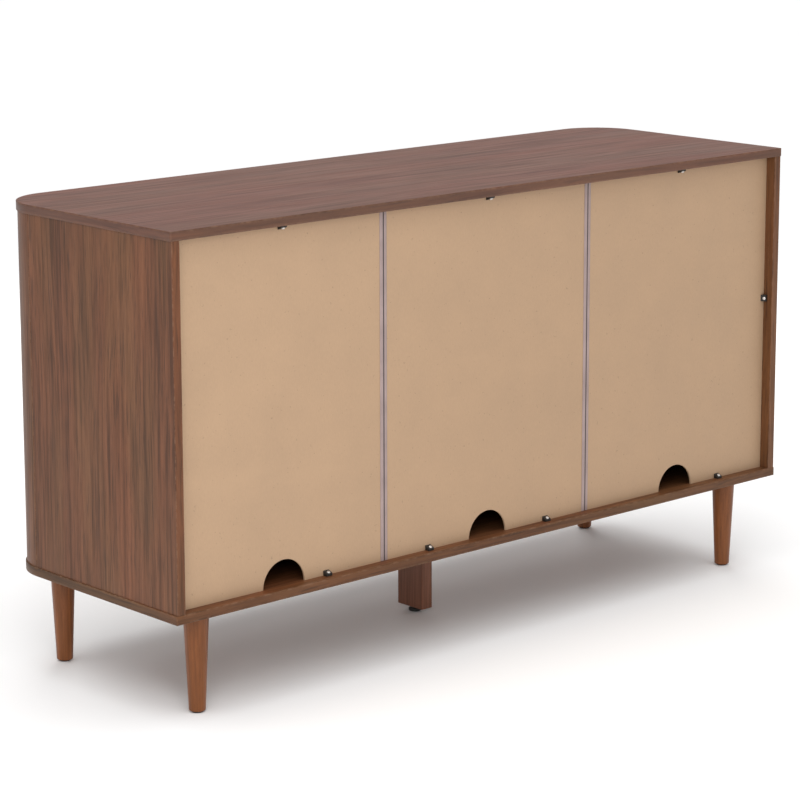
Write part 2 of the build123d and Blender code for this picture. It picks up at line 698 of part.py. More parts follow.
# --- Shelves and shelf pins ---

for place, (x_low, x_high) in shelf_bays.items():
    with BuildPart() as shelf:
        span_box((x_low + shelf_side_clearance, x_high - shelf_side_clearance),
                 (shelf_front_y, board_back_y), (shelf_z, shelf_z + shelf_thickness))
        fillet(shelf.edges().filter_by(Axis.X).group_by(Axis.Y)[0], edge_break)
    finish(shelf.part, f"{place}_shelf")

with BuildPart() as shelf_pins:
    for (x, y, z), inward in shelf_pin_places:
        hidden_end = (x - inward * shelf_pin_in_board, y, z)
        pin_length = shelf_pin_in_board + shelf_pin_reach
        bore(hidden_end, (inward, 0, 0), shelf_pin_radius, pin_length, mode=Mode.ADD)
finish(shelf_pins.part, "shelf_pins")

# --- Legs with their bolts, nuts and glides ---

leg_places = {
    "front_left": (-leg_x, front_leg_y),
    "front_right": (leg_x, front_leg_y),
    "back_left": (-leg_x, back_leg_y),
    "back_right": (leg_x, back_leg_y),
}
bolt_in_panel = insert_nut_length - bolt_end_clearance
for place, (x, y) in leg_places.items():
    with BuildPart() as leg:
        with BuildSketch(Plane(origin=(x, y, 0), x_dir=(1, 0, 0), z_dir=(0, -1, 0))):
            with BuildLine():
                Polyline((0, leg_glide_thickness), (leg_bottom_radius, leg_glide_thickness),
                         (leg_top_radius, leg_height), (0, leg_height), close=True)
            make_face()
        revolve(axis=Axis((x, y, 0), (0, 0, 1)))
        fillet(leg.edges().filter_by(GeomType.CIRCLE).sort_by(Axis.Z)[0], leg_foot_round)
        bore((x, y, leg_height), (0, 0, -1), hanger_bolt_radius, hanger_bolt_in_leg)
    finish(leg.part, f"{place}_leg")

with BuildPart() as hanger_bolts:
    for x, y in leg_places.values():
        bore((x, y, leg_height - hanger_bolt_in_leg), (0, 0, 1), hanger_bolt_radius,
             hanger_bolt_in_leg + bolt_in_panel, mode=Mode.ADD)
finish(hanger_bolts.part, "leg_hanger_bolts")

with BuildPart() as insert_nuts:
    for x, y in leg_places.values():
        bore((x, y, bottom_z), (0, 0, 1), insert_nut_radius, insert_nut_length, mode=Mode.ADD)
    for x, y in leg_places.values():
        bore((x, y, bottom_z), (0, 0, 1), hanger_bolt_radius, insert_nut_length)
finish(insert_nuts.part, "leg_insert_nuts")

with BuildPart() as leg_glides:
    for x, y in leg_places.values():
        bore((x, y, 0), (0, 0, 1), leg_glide_radius, leg_glide_thickness, mode=Mode.ADD)
    fillet(leg_glides.edges().filter_by(GeomType.CIRCLE).group_by(Axis.Z)[0], leg_glide_thickness * 0.4)
finish(leg_glides.part, "leg_glides")

# --- Centre leg and its adjustable glide ---

center_leg_y = (center_leg_mid_y - center_leg_depth / 2, center_leg_mid_y + center_leg_depth / 2)
stem_bore_radius = glide_stem_radius + glide_stem_clearance
glide_top_z = glide_floor_clearance + glide_pad_thickness
stem_top_z = glide_top_z + glide_stem_length
with BuildPart() as center_leg:
    span_box((-center_leg_width / 2, center_leg_width / 2), center_leg_y, (center_leg_floor_gap, leg_height))
    chamfer(center_leg.edges().filter_by(Axis.Z), edge_break)
    bore((0, center_leg_mid_y, center_leg_floor_gap), (0, 0, 1), glide_nut_radius, glide_nut_length)
    bore((0, center_leg_mid_y, center_leg_floor_gap), (0, 0, 1), stem_bore_radius,
         stem_top_z - center_leg_floor_gap + glide_travel_room)
    for shift in (-center_leg_screw_spacing / 2, center_leg_screw_spacing / 2):
        bore((0, center_leg_mid_y + shift, leg_height), (0, 0, -1), center_leg_screw_radius,
             center_leg_screw_length - board_thickness)
finish(center_leg.part, "center_leg")

with BuildPart() as center_leg_screws:
    for shift in (-center_leg_screw_spacing / 2, center_leg_screw_spacing / 2):
        screw_top = (0, center_leg_mid_y + shift, bay_floor_z)
        bore(screw_top, (0, 0, -1), center_leg_screw_radius, center_leg_screw_length, mode=Mode.ADD)
        head_height = center_leg_screw_head_radius - center_leg_screw_radius
        with Locations(Location(screw_top, (180, 0, 0))):
            Cone(center_leg_screw_head_radius, center_leg_screw_radius, head_height,
                 align=(Align.CENTER, Align.CENTER, Align.MIN))
finish(center_leg_screws.part, "center_leg_screws")

with BuildPart() as glide_nut:
    bore((0, center_leg_mid_y, center_leg_floor_gap), (0, 0, 1), glide_nut_radius, glide_nut_length,
         mode=Mode.ADD)
    bore((0, center_leg_mid_y, center_leg_floor_gap), (0, 0, 1), stem_bore_radius, glide_nut_length)
finish(glide_nut.part, "center_glide_nut")

with BuildPart() as center_glide:
    bore((0, center_leg_mid_y, glide_floor_clearance), (0, 0, 1), glide_pad_radius, glide_pad_thickness,
         mode=Mode.ADD)
    fillet(center_glide.edges().filter_by(GeomType.CIRCLE).sort_by(Axis.Z)[0], glide_pad_thickness * 0.4)
    bore((0, center_leg_mid_y, glide_top_z), (0, 0, 1), glide_stem_radius, glide_stem_length, mode=Mode.ADD)
finish(center_glide.part, "center_glide")
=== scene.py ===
"""Sideboard buffet: walnut-finish case with rounded front corners, three doors and tapered legs.

Laid out as an add-on and run as a script. Everything is in metres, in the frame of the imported
part: the doors face -Y, the back faces +Y, the right-hand side is +X and Z is up.
"""
import json
import math

import bpy
import numpy as np
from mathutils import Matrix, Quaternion, Vector

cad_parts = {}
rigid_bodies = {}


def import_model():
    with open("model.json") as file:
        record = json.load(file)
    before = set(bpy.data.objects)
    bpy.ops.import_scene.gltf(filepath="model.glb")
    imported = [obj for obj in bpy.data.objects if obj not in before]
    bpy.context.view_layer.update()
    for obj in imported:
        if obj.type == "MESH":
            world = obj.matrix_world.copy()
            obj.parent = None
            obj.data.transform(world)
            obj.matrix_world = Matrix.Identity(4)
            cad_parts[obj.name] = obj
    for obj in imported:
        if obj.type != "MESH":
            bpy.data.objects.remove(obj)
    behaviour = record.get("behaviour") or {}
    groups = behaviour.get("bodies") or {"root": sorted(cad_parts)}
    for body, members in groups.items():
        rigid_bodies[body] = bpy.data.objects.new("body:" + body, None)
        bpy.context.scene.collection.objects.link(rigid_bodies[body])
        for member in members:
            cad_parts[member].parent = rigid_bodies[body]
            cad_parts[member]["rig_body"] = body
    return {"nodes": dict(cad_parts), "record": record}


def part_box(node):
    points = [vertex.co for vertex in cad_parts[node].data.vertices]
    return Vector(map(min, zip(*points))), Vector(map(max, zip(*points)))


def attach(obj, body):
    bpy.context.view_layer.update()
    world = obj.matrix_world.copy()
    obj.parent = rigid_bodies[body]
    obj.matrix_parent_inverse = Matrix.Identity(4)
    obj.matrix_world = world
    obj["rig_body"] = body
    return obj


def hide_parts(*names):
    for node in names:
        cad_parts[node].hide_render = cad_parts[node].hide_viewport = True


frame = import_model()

bpy.context.view_layer.update()

bl_info = {
    "name": "Sideboard Buffet",
    "version": (1, 0, 0),
    "blender": (4, 5, 0),
    "location": "View3D > Sidebar > Sideboard",
    "description": "Builds the looks of a walnut-finish sideboard around its packed frame",
    "category": "Object",
}

SLOT_COLOR = {m["slot"]: tuple(m["base_color"]) for m in frame["record"]["materials"]}
NODES = frame["nodes"]


# --- Finishes: one node tree each ---


class Finish:
    """The node tree of one material, with short calls that add a node and join its sockets."""

    def __init__(self, name, **values):
        self.material = bpy.data.materials.new(name)
        self.material.use_nodes = True
        self.tree = self.material.node_tree
        self.shader = self.tree.nodes["Principled BSDF"]
        for socket, value in values.items():
            self.shader.inputs[socket.replace("_", " ")].default_value = value

    def add(self, kind, inputs, output=0, **settings):
        """Adds a node, sets or joins its inputs, and returns one of its outputs."""
        made = self.tree.nodes.new("ShaderNode" + kind)
        for key, value in settings.items():
            setattr(made, key, value)
        for key, value in inputs.items():
            if isinstance(value, bpy.types.NodeSocket):
                self.tree.links.new(value, made.inputs[key])
            else:
                made.inputs[key].default_value = value
        return made.outputs[output]

    def into(self, socket, value):
        self.tree.links.new(value, self.shader.inputs[socket])

    def place(self, output="Object"):
        return self.add("TexCoord", {}, output)

    def scaled(self, vector, scale, shift=(0, 0, 0)):
        return self.add("Mapping", {"Vector": vector, "Scale": scale, "Location": shift})

    def noise(self, vector, scale, detail=2.0, rough=0.5):
        return self.add(
            "TexNoise", {"Vector": vector, "Scale": scale, "Detail": detail, "Roughness": rough}
        )

    def grain(self, vector, along, across, detail=2.0, rough=0.5, shift=(0, 0, 0)):
        """Noise stretched along x. along and across are its frequencies per metre."""
        return self.noise(self.scaled(vector, (along, across, across), shift), 1.0, detail, rough)

    def math(self, operation, a, b=0.0):
        return self.add("Math", {0: a, 1: b}, operation=operation)

    def between(self, value, low, high, to_low=0.0, to_high=1.0):
        """Maps low..high to to_low..to_high with a smooth step."""
        return self.add(
            "MapRange",
            {0: value, 1: low, 2: high, 3: to_low, 4: to_high},
            interpolation_type="SMOOTHSTEP",
        )

    def mix(self, share, a, b, blend="MIX"):
        return self.add(
            "Mix", {0: share, 6: a, 7: b}, 2, data_type="RGBA", blend_type=blend
        )

    def ramp(self, value, *stops):
        """A colour ramp: stops are (position, colour)."""
        output = self.add("ValToRGB", {0: value})
        elements = output.node.color_ramp.elements
        while len(elements) < len(stops):
            elements.new(0.5)
        for element, (position, color) in zip(elements, stops):
            element.position = position
            element.color = (*color, 1.0)
        return output

    def bump(self, height, distance, strength):
        inputs = {"Height": height, "Distance": distance, "Strength": strength}
        self.into("Normal", self.add("Bump", inputs))

    def split(self):
        """The x, y and z of a point of the sideboard."""
        return self.add("SeparateXYZ", {0: self.place()}).node.outputs

    def swayed(self, vector, along, across, reach):
        """Moves the grain sideways in slow waves, by up to half of reach each way."""
        sway = self.grain(vector, along, across, detail=1.0)
        push = self.math("MULTIPLY", self.math("SUBTRACT", sway, 0.5), reach)
        offset = self.add("CombineXYZ", {1: push, 2: push})
        return self.add("VectorMath", {0: vector, 1: offset}, operation="ADD")


def shade(color, factor):
    return tuple(min(1.0, c * factor) for c in color)


# An arris is rubbed within the first distance from it, and not at all beyond the second.
RUBBED_WITHIN, RUBBED_UP_TO = 0.0004, 0.0022
RUBBED_FOIL = (0.27, 0.16, 0.105, 1.0)
EDGING_TINT = (0.74, 0.80, 0.68, 1.0)
REDDER, GREENER = (1.04, 0.96, 0.96), (0.96, 1.04, 1.03)


def walnut(name, along, color, contrast=1.0, gloss=0.46, sheen=0.3, arrises=()):
    """Walnut foil over board: broad bands, flat-sawn figure, streaks, short flecks and pores.

    The grain runs along the piece's own u, or along z of the whole sideboard. Rubbed edges come
    from the piece's wear attribute, or from the upright lines (x, y) that a CAD board names.
    """
    f = Finish(name, Roughness=gloss, Specular_IOR_Level=sheen)
    p = f.place("UV" if along == "u" else "Object")
    rubbed = f.add("Attribute", {}, 2, attribute_name="wear")
    parts = f.split()
    for x, y in arrises:
        off_x = f.math("ABSOLUTE", f.math("SUBTRACT", f.math("ABSOLUTE", parts[0]), x))
        off_y = f.math("ABSOLUTE", f.math("SUBTRACT", parts[1], y))
        off = f.math("MAXIMUM", off_x, off_y)
        rubbed = f.math("MAXIMUM", rubbed, f.between(off, RUBBED_WITHIN, RUBBED_UP_TO, 1.0, 0.0))
    if along == "z":
        p = f.add("CombineXYZ", {0: parts[2], 1: parts[0], 2: parts[1]})
    hills = f.grain(p, along=1.5, across=9.0, detail=1.5, shift=(0.9, 0.2, 0.4))
    figure = f.math("SINE", f.math("MULTIPLY", hills, 110.0))
    p = f.swayed(p, along=1.6, across=7.0, reach=0.04)
    bands = f.grain(p, along=1.0, across=18.0, detail=3.0, rough=0.55)
    streaks = f.grain(p, along=4.0, across=150.0, detail=4.0, rough=0.62)
    flecks = f.grain(p, along=13.0, across=300.0, rough=0.6, shift=(0.3, 0.7, 0.1))
    pores = f.grain(p, along=45.0, across=1300.0, detail=1.0)
    hue = f.between(f.grain(p, along=2.0, across=14.0, shift=(0.5, 0.1, 0.8)), 0.35, 0.65)
    tone = f.math("ADD", f.math("MULTIPLY", bands, 0.38), f.math("MULTIPLY", streaks, 0.62))
    tone = f.math("ADD", tone, f.math("MULTIPLY", figure, 0.016))
    wood = f.ramp(
        tone,
        (0.38, shade(color, 1 - 0.40 * contrast)),
        (0.47, shade(color, 1 - 0.06 * contrast)),
        (0.54, shade(color, 1 + 0.12 * contrast)),
        (0.63, shade(color, 1 + 0.36 * contrast)),
    )
    wood = f.mix(1.0, wood, f.ramp(hue, (0.0, REDDER), (1.0, GREENER)), "MULTIPLY")
    dark = f.between(flecks, 0.54, 0.70, 0.0, 0.6 * contrast)
    wood = f.mix(dark, wood, (*shade(color, 0.42), 1.0))
    fine = f.between(pores, 0.54, 0.74, 0.0, 0.4 * contrast)
    wood = f.mix(fine, wood, (*shade(color, 0.35), 1.0))
    edging = f.add("Attribute", {}, 2, attribute_name="edging")
    wood = f.mix(edging, wood, f.mix(1.0, wood, EDGING_TINT, "MULTIPLY"))
    patchy = f.between(f.noise(f.place(), 90.0, 3.0, 0.7), 0.42, 0.66, 0.0, 0.4)
    worn = f.math("MULTIPLY", rubbed, patchy)
    f.into("Base Color", f.mix(worn, wood, RUBBED_FOIL))
    satin = f.between(streaks, 0.3, 0.7, gloss + 0.06, gloss - 0.05)
    f.into("Roughness", f.math("ADD", satin, worn))
    height = f.math("SUBTRACT", f.math("MULTIPLY", streaks, 0.6), f.math("ADD", dark, fine))
    f.bump(height, 0.0002, 0.35)
    return f.material


def fibreboard(name, color):
    """Smooth light-brown fibreboard: faint clouds, fibres, pale smears and a few dark specks."""
    f = Finish(name, Roughness=0.6, Specular_IOR_Level=0.3)
    p = f.place()
    clouds = f.noise(p, 9.0, 4.0, 0.6)
    fibres = f.noise(f.scaled(p, (1.0, 1.0, 0.35)), 420.0, 3.0, 0.6)
    board = f.ramp(
        f.math("ADD", f.math("MULTIPLY", clouds, 0.6), f.math("MULTIPLY", fibres, 0.4)),
        (0.35, shade(color, 0.95)),
        (0.5, color),
        (0.65, shade(color, 1.05)),
    )
    specks = f.between(f.noise(p, 230.0, 1.0), 0.72, 0.8, 0.0, 0.5)
    board = f.mix(specks, board, (*shade(color, 0.55), 1.0))
    smears = f.noise(f.scaled(p, (2.0, 1.0, 7.0)), 1.0, 4.0, 0.65)
    pale = f.between(smears, 0.55, 0.75, 0.0, 0.25)
    board = f.mix(pale, board, (*shade(color, 1.12), 1.0))
    f.into("Base Color", board)
    f.into("Roughness", f.between(clouds, 0.3, 0.7, 0.52, 0.66))
    f.bump(fibres, 0.0001, 0.4)
    return f.material


def stained_wood(name, color, gloss=0.35):
    """Stained solid wood with fine upright grain under satin lacquer."""
    f = Finish(
        name, Roughness=gloss, Specular_IOR_Level=0.3, Coat_Weight=0.06, Coat_Roughness=0.25
    )
    parts = f.split()
    p = f.add("CombineXYZ", {0: parts[2], 1: parts[0], 2: parts[1]})
    p = f.swayed(p, along=4.0, across=12.0, reach=0.01)
    rings = f.grain(p, along=6.0, across=240.0, detail=3.0, rough=0.6)
    pores = f.grain(p, along=90.0, across=1500.0, detail=1.0)
    wood = f.ramp(rings, (0.3, shade(color, 0.72)), (0.5, color), (0.7, shade(color, 1.25)))
    dark = f.between(pores, 0.58, 0.74, 0.0, 0.4)
    f.into("Base Color", f.mix(dark, wood, (*shade(color, 0.45), 1.0)))
    f.into("Roughness", f.between(rings, 0.3, 0.7, gloss + 0.1, gloss - 0.05))
    f.bump(f.math("SUBTRACT", rings, dark), 0.0002, 0.3)
    return f.material


def plastic(name, color, roughness=0.5):
    """Moulded or drawn plastic with a fine satin texture, darkened by painted shade where the
    piece marks a groove.
    """
    f = Finish(name, Roughness=roughness, Specular_IOR_Level=0.45)
    p = f.place()
    fine = f.noise(p, 900.0)
    broad = f.noise(p, 30.0)
    made = f.ramp(broad, (0.3, shade(color, 0.9)), (0.7, shade(color, 1.1)))
    groove_shade = f.add("Attribute", {}, 2, attribute_name="groove_shade")
    # Painted shade: where the groove mask is set, the colour falls to 0.22 of itself.
    f.into("Base Color", f.mix(groove_shade, made, (*shade(color, 0.22), 1.0)))
    f.into("Roughness", f.between(fine, 0.3, 0.7, roughness - 0.08, roughness + 0.08))
    f.bump(fine, 0.00005, 0.5)
    return f.material


def metal(name, color, roughness=0.3):
    """Plated or brushed metal with fine marks and slightly uneven gloss."""
    f = Finish(name, Metallic=1.0, Roughness=roughness)
    p = f.place()
    marks = f.noise(f.scaled(p, (1.0, 1.0, 0.08)), 600.0, 3.0, 0.6)
    clouds = f.noise(p, 60.0)
    f.into("Base Color", f.ramp(clouds, (0.3, shade(color, 0.85)), (0.7, shade(color, 1.1))))
    f.into("Roughness", f.between(marks, 0.3, 0.7, roughness - 0.08, roughness + 0.12))
    f.bump(marks, 0.00003, 0.5)
    return f.material


# --- Shapes: surfaces worked out on grids ---


CORNER_MARGIN = 0.003


def corner_arc(corner, inward, radius, start, margin, steps):
    """A round corner: centre + radius * (cos a, sin a), with a from start through a quarter turn.

    With a margin it also has a point that far before and after, on the straight edges.
    """
    a = np.radians(np.linspace(start, start + 90, steps + 1))
    direction = np.stack([np.cos(a), np.sin(a)], 1)
    arc = corner + radius * inward + radius * direction
    if not margin:
        return arc
    along = np.stack([-direction[:, 1], direction[:, 0]], 1)
    return np.concatenate([arc[:1] - margin * along[:1], arc, arc[-1:] + margin * along[-1:]])


SMALLEST_RADIUS = 0.0002
SHARP_RADIUS = 0.002


def rectangle_outline(low, high, radii, margins, steps):
    """Outline of a rectangle as a function of how far it is drawn in, with its wear.

    The corners run anticlockwise from the front right one. Each keeps its count of points, and its
    radius shrinks with the inset, down to the smallest radius. Only sharp corners are worn.
    """
    low, high = np.asarray(low, float), np.asarray(high, float)
    kinds = list(zip(((1, 0, -90), (1, 1, 0), (0, 1, 90), (0, 0, 180)), radii, margins, steps))

    def outline(inset):
        span = np.array([low + inset, high - inset])
        arcs = [
            corner_arc(
                np.array([span[right, 0], span[back, 1]]),
                np.array([1 - 2 * right, 1 - 2 * back]),
                max(radius - inset, SMALLEST_RADIUS),
                start,
                margin,
                count,
            )
            for (right, back, start), radius, margin, count in kinds
        ]
        return np.concatenate(arcs)

    wear = []
    for _, radius, margin, count in kinds:
        rubbed = np.full(count + 1, 1.0 if radius < SHARP_RADIUS else 0.0)
        wear += [[0.0], rubbed, [0.0]] if margin else [rubbed]
    return outline, np.concatenate(wear)


POST_POINTS = 43


def post_outline(centre, outer, inner, hand, seam):
    """Outline of a quarter-round post as a function of how far it is drawn in, with its wear.

    A point is centre + radius * (hand * cos a, -sin a), with a from 0 to 90 degrees on the outer
    arc and back on the inner one. The outer arc's two ends are eased by the seam's width.
    """
    share = np.linspace(0, 1, POST_POINTS - 2)

    def outline(inset):
        big, small = outer - inset, inner + inset
        first = (inset + seam) / big
        bend = first + share * (np.pi / 2 - 2 * first)
        a_outer = np.concatenate([[inset / big], bend, [np.pi / 2 - inset / big]])
        r_outer = np.concatenate([[big - seam], np.full(len(bend), big), [big - seam]])
        reach = np.pi / 2 - 2 * inset / small
        a_inner = (inset / small + np.linspace(0, 1, POST_POINTS) * reach)[::-1]
        a = np.concatenate([a_outer, a_inner])
        r = np.concatenate([r_outer, np.full(POST_POINTS, small)])[:, None]
        points = np.asarray(centre) + r * np.stack([hand * np.cos(a), -np.sin(a)], 1)
        return points[::-1] if hand > 0 else points

    wear = np.zeros(2 * POST_POINTS)
    wear[[0, 1, POST_POINTS - 2, POST_POINTS - 1]] = 1.0
    return outline, wear[::-1] if hand > 0 else wear


def eased_profile(thickness, ease, margin=CORNER_MARGIN, steps=3):
    """Inset and height of a board's edge, from the lower face to the upper one, with wear.

    The edge is a quarter turn of radius ease, a straight, and another quarter turn:
    inset = ease * (1 - sin a), height = ease * (1 - cos a).
    """
    a = np.radians(np.linspace(0, 90, steps + 1))
    turn = np.stack([ease * (1 - np.sin(a)), ease * (1 - np.cos(a))], 1)
    rim = ease + margin
    lower = np.concatenate([[[rim, 0.0]], turn, [[0.0, rim]]])
    upper = (lower * (1, -1) + (0, thickness))[::-1]
    wear = np.concatenate([[0.0], np.ones(steps + 1), [0.0]])
    return np.concatenate([lower, upper]), np.concatenate([wear, wear])


def around(rows, columns):
    """Quads of a grid that closes round its columns: corner, next column, both one row up."""
    r = np.arange(rows - 1)[:, None] * columns
    c = np.arange(columns)[None, :]
    n = (c + 1) % columns
    return np.stack([r + c, r + n, r + columns + n, r + columns + c], -1).reshape(-1, 4)


def ladder(ring):
    """Quads that close a ring: point i and i + 1 with their partners from the other end."""
    i = np.arange(len(ring) // 2 - 1)
    return np.stack([ring[i], ring[i + 1], ring[-2 - i], ring[-1 - i]], 1)


def new_piece(name, points, faces, material, uv=None, wear=None):
    """A closed mesh from whole arrays, with its grain coordinates and its wear."""
    mesh = bpy.data.meshes.new(name)
    mesh.from_pydata(points.tolist(), [], [face for group in faces for face in group.tolist()])
    if uv is not None:
        layer = mesh.uv_layers.new(name="grain")
        flat = np.concatenate([u.reshape(-1, 2) for u in uv]).astype(np.float32)
        layer.uv.foreach_set("vector", flat.ravel())
    if wear is not None:
        layer = mesh.attributes.new("wear", "FLOAT", "POINT")
        layer.data.foreach_set("value", wear.astype(np.float32))
    mesh.shade_smooth()
    mesh.set_sharp_from_angle(angle=math.radians(40))
    mesh.materials.append(material)
    made = bpy.data.objects.new(name, mesh)
    bpy.context.scene.collection.objects.link(made)
    return made


def board(name, shape, base, thickness, ease, material, upright=False, shift=(0.0, 0.0)):
    """A board: P(c, r) = outline(inset(r))(c) at the height base + height(r) of the eased profile.

    Both faces are closed by rungs from one half of the outline to the other. The grain runs along
    x on the faces and along the edges, or up the sides of an upright board.
    """
    outline, wear_round = shape
    profile, wear_up = eased_profile(thickness, ease)
    rows = len(profile)
    plan = np.stack([outline(inset) for inset in profile[:, 0]])
    columns = plan.shape[1]
    height = np.broadcast_to(base + profile[:, 1, None, None], (rows, columns, 1))
    points = np.concatenate([plan, height], 2).reshape(-1, 3)
    sides = around(rows, columns)
    ring = np.arange(columns)
    ends = [ladder(ring[::-1]), ladder(ring + (rows - 1) * columns)]
    step = np.linalg.norm(np.roll(outline(0.0), -1, 0) - outline(0.0), axis=1)
    climb = np.linalg.norm(np.diff(profile, axis=0), axis=1)
    along = np.concatenate([[0.0], np.cumsum(step)])
    up = np.concatenate([[0.0], np.cumsum(climb)])
    r, c = np.divmod(np.arange((rows - 1) * columns), columns)
    corners = ((c, r), (c + 1, r), (c + 1, r + 1), (c, r + 1))
    side_uv = np.stack([np.stack([along[u], up[v]], 1) for u, v in corners], 1)
    if upright:
        side_uv = side_uv[..., ::-1].copy()
    on_face = (r == 0) | (r == rows - 2)
    side_uv[on_face] = points[sides[on_face]][..., :2]
    uv = [part + np.asarray(shift) for part in (side_uv, *(points[end][..., :2] for end in ends))]
    edge = profile[:, :1] < ease * 1.01
    wear = np.maximum(wear_up[:, None], wear_round[None] * edge).ravel()
    piece = new_piece(name, points, [sides, *ends], material, uv, wear)
    banded = np.zeros(len(piece.data.polygons), np.float32)
    banded[: len(sides)] = 0.0 if upright else ~on_face
    layer = piece.data.attributes.new("edging", "FLOAT", "FACE")
    layer.data.foreach_set("value", banded)
    return piece


AXES = {"z": ((1, 0, 0), (0, 1, 0), (0, 0, 1)), "-y": ((1, 0, 0), (0, 0, 1), (0, -1, 0))}


def turned(name, profile, origins, axis, material, columns=64):
    """Turned pieces: P(a, s) = origin + radius(s) * (cos a, sin a) + height(s) along the axis.

    The profile's first and last points are on the axis, and close the piece as poles.
    """
    radius, height = np.asarray(profile, float).T
    a = np.linspace(0, 2 * np.pi, columns, endpoint=False)
    r, h = radius[1:-1, None], height[1:-1, None]
    rows = len(r)
    grid = np.stack([r * np.cos(a), r * np.sin(a), np.broadcast_to(h, (rows, columns))], 2)
    poles = [[0, 0, height[0]], [0, 0, height[-1]]]
    one = np.concatenate([grid.reshape(-1, 3), poles]) @ np.array(AXES[axis], float)
    ring = np.arange(columns)
    last = ring + (rows - 1) * columns
    foot = np.stack([np.roll(ring, -1), ring, np.full(columns, rows * columns)], 1)
    head = np.stack([last, np.roll(last, -1), np.full(columns, rows * columns + 1)], 1)
    origins = np.asarray(origins, float).reshape(-1, 3)
    points = (origins[:, None] + one[None]).reshape(-1, 3)
    first = np.arange(len(origins))[:, None, None] * len(one)
    parts = (around(rows, columns), foot, head)
    faces = [(part[None] + first).reshape(-1, part.shape[1]) for part in parts]
    return new_piece(name, points, faces, material)


def drawn(name, section, groove_shade, low, high, material):
    """A section carried straight up: P(c, r) = section(c) at height(r), closed by its two ends."""
    section = np.asarray(section, float)
    height = np.array([low, high])[:, None, None]
    grid = np.broadcast_to(section[None], (2, *section.shape))
    levels = np.broadcast_to(height, (2, len(section), 1))
    points = np.concatenate([grid, levels], 2).reshape(-1, 3)
    ring = np.arange(len(section))
    ends = [ring[None, ::-1], ring[None] + len(section)]
    piece = new_piece(name, points, [around(2, len(section)), *ends], material)
    # The painted groove shade, carried by both ends of the section.
    layer = piece.data.attributes.new("groove_shade", "FLOAT", "POINT")
    layer.data.foreach_set("value", np.tile(groove_shade, 2).astype(np.float32))
    return piece


def bow(centre, radius, start, stop, steps):
    """Points of an arc in a profile: centre + radius * (cos a, sin a), with a in degrees."""
    a = np.radians(np.linspace(start, stop, steps + 1))
    return np.asarray(centre) + radius * np.stack([np.cos(a), np.sin(a)], 1)


def stand_for(piece, node):
    """The piece rides with the CAD node that it stands for, which is hidden."""
    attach(piece, NODES[node]["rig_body"])
    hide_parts(node)
    slot_of(node)


def slot_of(node):
    return NODES[node].material_slots[0].material.name.split(".")[0]


def ease_edges(width, *names):
    """Rounds the sharp edges of CAD boards, which keep their holes and grooves."""
    for name in names:
        node = NODES[name]
        weld = node.modifiers.new("weld", "WELD")
        weld.merge_threshold = 1e-5
        flat = node.modifiers.new("flat", "DECIMATE")
        flat.decimate_type = "DISSOLVE"
        flat.angle_limit = math.radians(0.5)
        bevel = node.modifiers.new("ease", "BEVEL")
        bevel.width = width
        bevel.segments = 2
        bevel.limit_method = "ANGLE"
        bevel.angle_limit = math.radians(35)
        bevel.use_clamp_overlap = False


# --- Settings that a user would change ---


def color_property(name, text, default):
    return bpy.props.FloatVectorProperty(
        name=name, description=text, default=default, size=3, min=0, max=1, subtype="COLOR"
    )


def length_property(name, text, default):
    return bpy.props.FloatProperty(
        name=name,
        description=text,
        default=default,
        min=0,
        precision=4,
        unit="LENGTH",
        subtype="DISTANCE",
    )


class SIDEBOARD_PG_finishes(bpy.types.PropertyGroup):
    walnut: color_property("Walnut", "Foil on the case boards but the top", (0.136, 0.051, 0.0195))
    top_walnut: color_property("Top walnut", "Foil on the top panel", (0.147, 0.0475, 0.0245))
    door_walnut: color_property("Door walnut", "Foil on the doors", (0.140, 0.053, 0.0205))
    fibreboard: color_property("Fibreboard", "Back panels", (0.452, 0.300, 0.187))
    strip: color_property("Joint strips", "Strips between the back panels", (0.345, 0.258, 0.245))
    leg: color_property("Legs", "Stain of the four round legs", (0.205, 0.065, 0.016))
    # Painted light: the centre leg's default stain is lighter than its own, making up for the
    # shade under the case.
    dark_wood: color_property("Centre leg", "Stain of the centre leg", (0.200, 0.078, 0.042))


class SIDEBOARD_PG_sizes(bpy.types.PropertyGroup):
    panel_ease: length_property("Panel edges", "Rounding of the level boards' edges", 0.0008)
    board_ease: length_property("Board edges", "Rounding of the upright boards' edges", 0.0005)
    door_ease: length_property("Door edges", "Rounding of the doors' edges", 0.001)
    seam: length_property("Post seam", "Easing of a corner post's two ends", 0.0006)
    corner_radius: length_property("Corner radius", "Front corners of the panels", 0.092)
    post_wall: length_property("Post wall", "Wall of the hollow corner posts", 0.015)


class SIDEBOARD_PG_light(bpy.types.PropertyGroup):
    surround: bpy.props.FloatProperty(
        name="Surround", description="Strength of the even studio light", default=0.5, min=0
    )
    overhead: bpy.props.FloatProperty(
        name="Overhead", description="Strength of the soft light from above", default=1.85, min=0
    )
    key: bpy.props.FloatProperty(
        name="Key",
        description="Power of the softbox behind the sideboard",
        default=25.0,
        min=0,
        unit="POWER",
    )
    fill: bpy.props.FloatProperty(
        name="Fill",
        description="Power of the softbox before the doors",
        default=24.0,
        min=0,
        unit="POWER",
    )


def cover(material, *names):
    """Gives CAD nodes a finish."""
    for name in names:
        for slot in NODES[name].material_slots:
            slot.material = material


